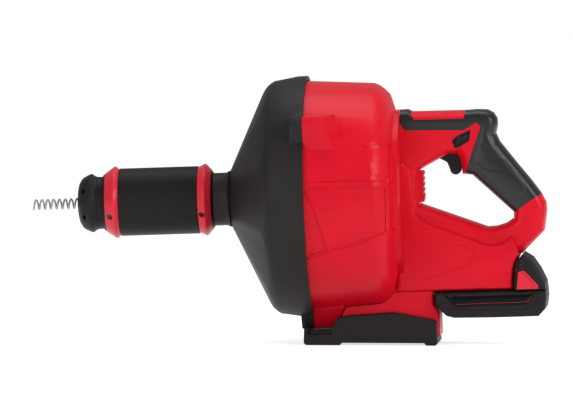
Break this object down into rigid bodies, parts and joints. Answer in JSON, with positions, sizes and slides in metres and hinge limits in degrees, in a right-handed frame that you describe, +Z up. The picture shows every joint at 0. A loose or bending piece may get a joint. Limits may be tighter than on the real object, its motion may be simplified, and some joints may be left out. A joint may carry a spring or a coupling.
{
  "type": "drain snake machine",
  "caption": "Handheld powered drain snake with a cone-fronted cable drum, sliding feed sleeve, D-handle with trigger, base foot and slide-on battery pack.",
  "frame": {"origin": "middle of the bottom face of the foot's front block", "axes": "+Z up, +X towards the battery pack, +Y to the operator's right; the nose points to -X and sits two degrees lower"},
  "size_m": [0.5482, 0.2585, 0.2831],
  "materials": {
    "black_plastic": "fine texture",
    "red_plastic": "satin",
    "ring_red": "satin",
    "grip_rubber": "soft matt",
    "spring_steel": "bright drawn wire",
    "steel": "machined",
    "dark_steel": "black oxide",
    "cable_steel": "wound wire",
    "inner_plastic": "plain",
    "board_green": "lacquered",
    "copper": "enamelled wire",
    "cell_wrap": "shrink wrap",
    "nickel": "plated"
  },
  "bodies": {
    "housing": {"nose_cap": "black_plastic", "nose_tube": "black_plastic", "feed_carrier": "inner_plastic", "feed_rollers": "steel", "guide_bush": "inner_plastic", "front_shroud": "black_plastic", "drum_housing": "red_plastic", "shroud_screws": "dark_steel", "drum_bearings": "steel", "lay_bush": "copper", "motor_can": "inner_plastic", "motor_stator": "copper", "grip_overmould": "grip_rubber", "handle_housing_left": "red_plastic", "handle_housing_right": "red_plastic", "handle_screws": "dark_steel", "shuttle_bezel": "black_plastic", "vent_grille": "red_plastic", "switch_module": "inner_plastic", "trigger_spring": "spring_steel", "control_board": "board_green", "terminal_block": "inner_plastic", "terminal_blades": "nickel", "base_foot": "black_plastic"},
    "drum": {"inner_drum_cup": "inner_plastic", "inner_drum_front": "inner_plastic", "cable_coil": "cable_steel", "drum_shaft": "steel", "drum_gear": "inner_plastic", "cable_guide_tube": "steel", "drain_cable": "cable_steel", "auger_tip": "spring_steel"},
    "lay_shaft": {"lay_gear": "steel"},
    "motor_shaft": {"motor_rotor": "steel", "motor_pinion": "steel", "motor_fan": "inner_plastic"},
    "sleeve": {"feed_sleeve": "black_plastic", "front_ring": "ring_red", "rear_ring": "ring_red", "ring_screws": "dark_steel"},
    "trigger": {"trigger": "black_plastic"},
    "shuttle": {"direction_shuttle": "black_plastic"},
    "battery": {"battery_case_lower": "black_plastic", "battery_case_upper": "black_plastic", "battery_cells": "cell_wrap", "cell_links": "nickel", "latch_spring_left": "spring_steel", "latch_spring_right": "spring_steel"},
    "latch_left": {"latch_button_left": "ring_red"},
    "latch_right": {"latch_button_right": "ring_red"}
  },
  "joints": [
    {"name": "drum_spin", "type": "hinge", "parent": "housing", "child": "drum", "pos_m": [-0.0254, 0, 0.1552], "axis": [0.9994, 0, 0.0349], "continuous": true},
    {"name": "lay_spin", "type": "hinge", "parent": "housing", "child": "lay_shaft", "pos_m": [0.07189, 0.01946, 0.09132], "axis": [0.9994, 0, 0.0349], "continuous": true},
    {"name": "motor_spin", "type": "hinge", "parent": "housing", "child": "motor_shaft", "pos_m": [0.10682, 0, 0.09378], "axis": [0.9994, 0, 0.0349], "continuous": true},
    {"name": "sleeve_slide", "type": "slide", "parent": "housing", "child": "sleeve", "axis": [0.9994, 0, 0.0349], "range_m": [-0.005, 0.012]},
    {"name": "trigger_pull", "type": "slide", "parent": "housing", "child": "trigger", "axis": [0.8141, 0, 0.5807], "range_m": [0, 0.005], "stiffness_N_per_m": 400, "springref_m": -0.001, "deforming": ["trigger_spring"]},
    {"name": "shuttle_slide", "type": "slide", "parent": "housing", "child": "shuttle", "axis": [0, 1, 0], "range_m": [-0.003, 0.003]},
    {"name": "battery_slide", "type": "slide", "parent": "housing", "child": "battery", "axis": [0.9994, 0, 0.0349], "range_m": [0, 0.1]},
    {"name": "latch_left_press", "type": "slide", "parent": "battery", "child": "latch_left", "axis": [0, 1, 0], "range_m": [0, 0.0025], "stiffness_N_per_m": 800, "springref_m": -0.001, "deforming": ["latch_spring_left"]},
    {"name": "latch_right_press", "type": "slide", "parent": "battery", "child": "latch_right", "axis": [0, -1, 0], "range_m": [0, 0.0025], "stiffness_N_per_m": 800, "springref_m": -0.001, "deforming": ["latch_spring_right"]}
  ],
  "couplings": [
    {"joint": "lay_spin", "follows": "drum_spin", "ratio": -6},
    {"joint": "motor_spin", "follows": "drum_spin", "ratio": 20}
  ]
}
